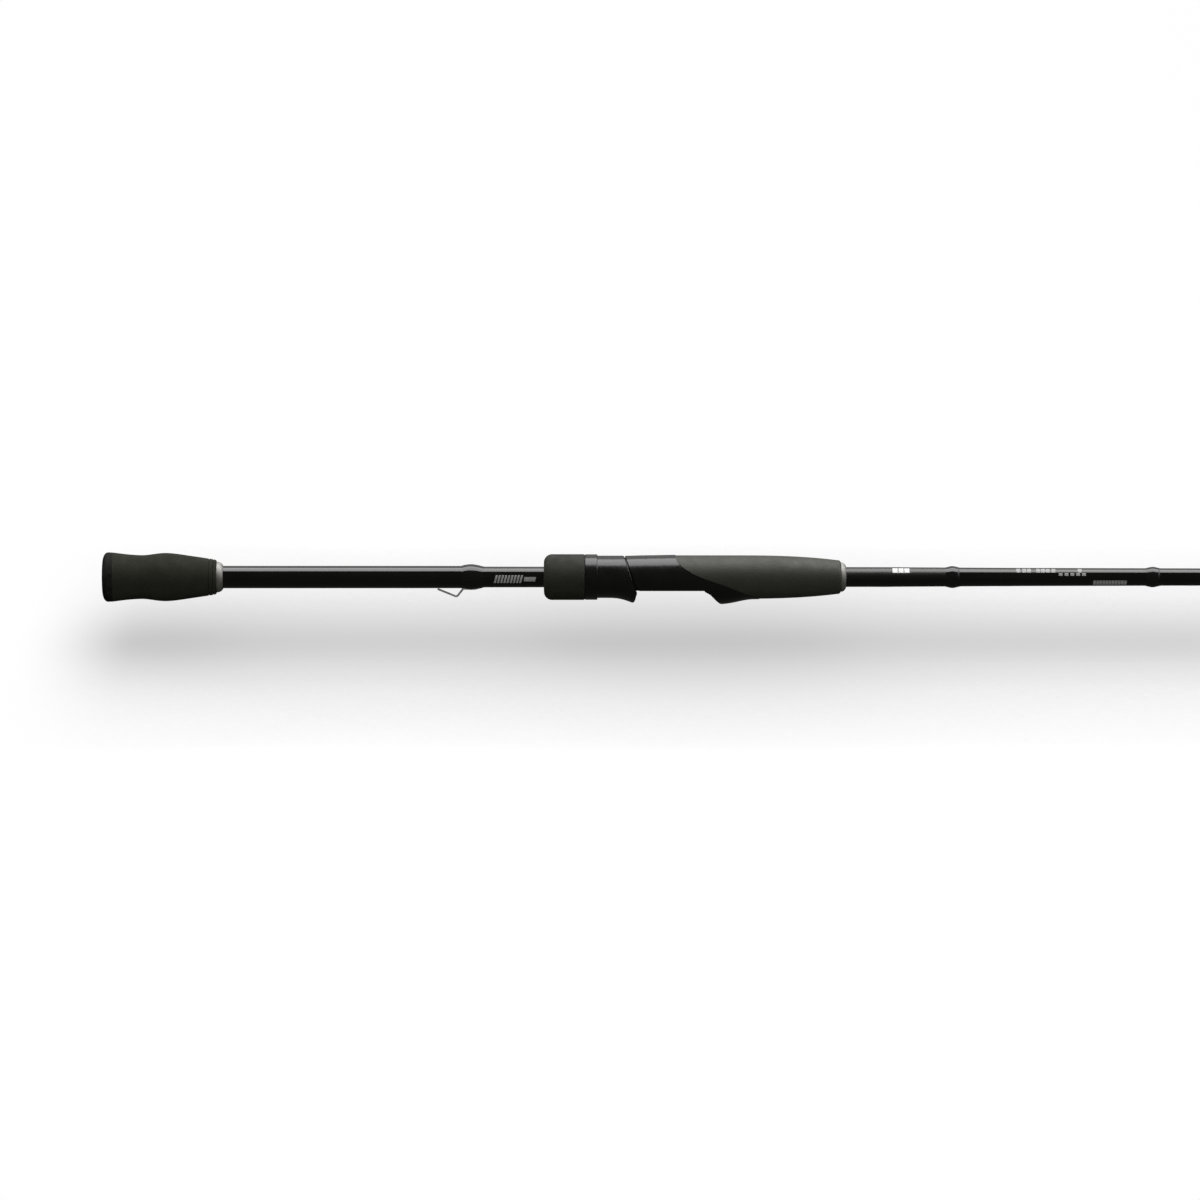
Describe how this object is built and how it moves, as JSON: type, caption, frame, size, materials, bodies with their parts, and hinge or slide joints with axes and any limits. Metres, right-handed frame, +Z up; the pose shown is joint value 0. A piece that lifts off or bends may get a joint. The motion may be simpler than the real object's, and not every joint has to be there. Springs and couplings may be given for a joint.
{
  "type": "spinning rod",
  "caption": "Two-piece spinning rod with foam grips, a hooded reel seat with a screw lock, a hook keeper and ringed line guides under a tapering blank.",
  "frame": {"origin": "on the blank's centre line at the flat end of the butt cap", "axes": "+X along the rod towards the tip, +Z up, with the reel seat's foot bed and the line guides on the -Z side"},
  "size_m": [2.1288, 0.032, 0.0609],
  "materials": {
    "blank": "clear-coated carbon fibre tube, satin by the reel seat and glossier ahead of it",
    "eva_foam": "matte closed-cell foam with fine open pores",
    "cap_rubber": "smooth matte rubber",
    "check_metal": "satin turned metal",
    "keeper_wire": "bright drawn wire",
    "thread_wrap": "thread under a clear glossy epoxy coat",
    "seat_plastic": "gloss moulded nylon",
    "hood_plastic": "gloss moulded nylon",
    "arbor_foam": "rigid urethane foam",
    "guide_frame": "black-plated polished steel wire and strip",
    "guide_ring": "polished dark ceramic"
  },
  "bodies": {
    "butt_section": {"butt_blank": "blank", "butt_cap": "cap_rubber", "rear_grip": "eva_foam", "rear_grip_check": "check_metal", "hook_keeper": "keeper_wire", "hook_keeper_wrap": "thread_wrap", "reel_seat_body": "seat_plastic", "reel_seat_arbors": "arbor_foam", "foregrip": "eva_foam", "foregrip_check": "check_metal", "label_wrap_rear": "thread_wrap", "label_wrap_front": "thread_wrap", "guide_1_frame": "guide_frame", "guide_1_ring": "guide_ring", "guide_1_wraps": "thread_wrap"},
    "moving_hood": {"moving_hood": "hood_plastic"},
    "locking_nut": {"locking_nut_sleeve": "hood_plastic", "locking_nut_cover": "eva_foam"},
    "tip_section": {"tip_blank": "blank", "ferrule_wrap": "thread_wrap", "guide_2_frame": "guide_frame", "guide_2_ring": "guide_ring", "guide_2_wraps": "thread_wrap", "guide_3_frame": "guide_frame", "guide_3_ring": "guide_ring", "guide_3_wraps": "thread_wrap", "guide_4_frame": "guide_frame", "guide_4_ring": "guide_ring", "guide_4_wraps": "thread_wrap", "guide_5_frame": "guide_frame", "guide_5_ring": "guide_ring", "guide_5_wraps": "thread_wrap", "guide_6_frame": "guide_frame", "guide_6_ring": "guide_ring", "guide_6_wraps": "thread_wrap", "guide_7_frame": "guide_frame", "guide_7_ring": "guide_ring", "guide_7_wraps": "thread_wrap", "tip_top_frame": "guide_frame", "tip_top_ring": "guide_ring", "tip_top_wrap": "thread_wrap"}
  },
  "joints": [
    {"name": "hood_slide", "type": "slide", "parent": "butt_section", "child": "moving_hood", "axis": [1, 0, 0], "range_m": [-0.01201, 0]},
    {"name": "nut_turn", "type": "hinge", "parent": "moving_hood", "child": "locking_nut", "pos_m": [0.265, 0, 0], "axis": [1, 0, 0], "range_deg": [-1440, 0]},
    {"name": "tip_section_pull", "type": "slide", "parent": "butt_section", "child": "tip_section", "axis": [1, 0, 0], "range_m": [0, 0.09]}
  ],
  "couplings": [
    {"joint": "hood_slide", "follows": "nut_turn", "m_per_rad": 0.00047746}
  ]
}
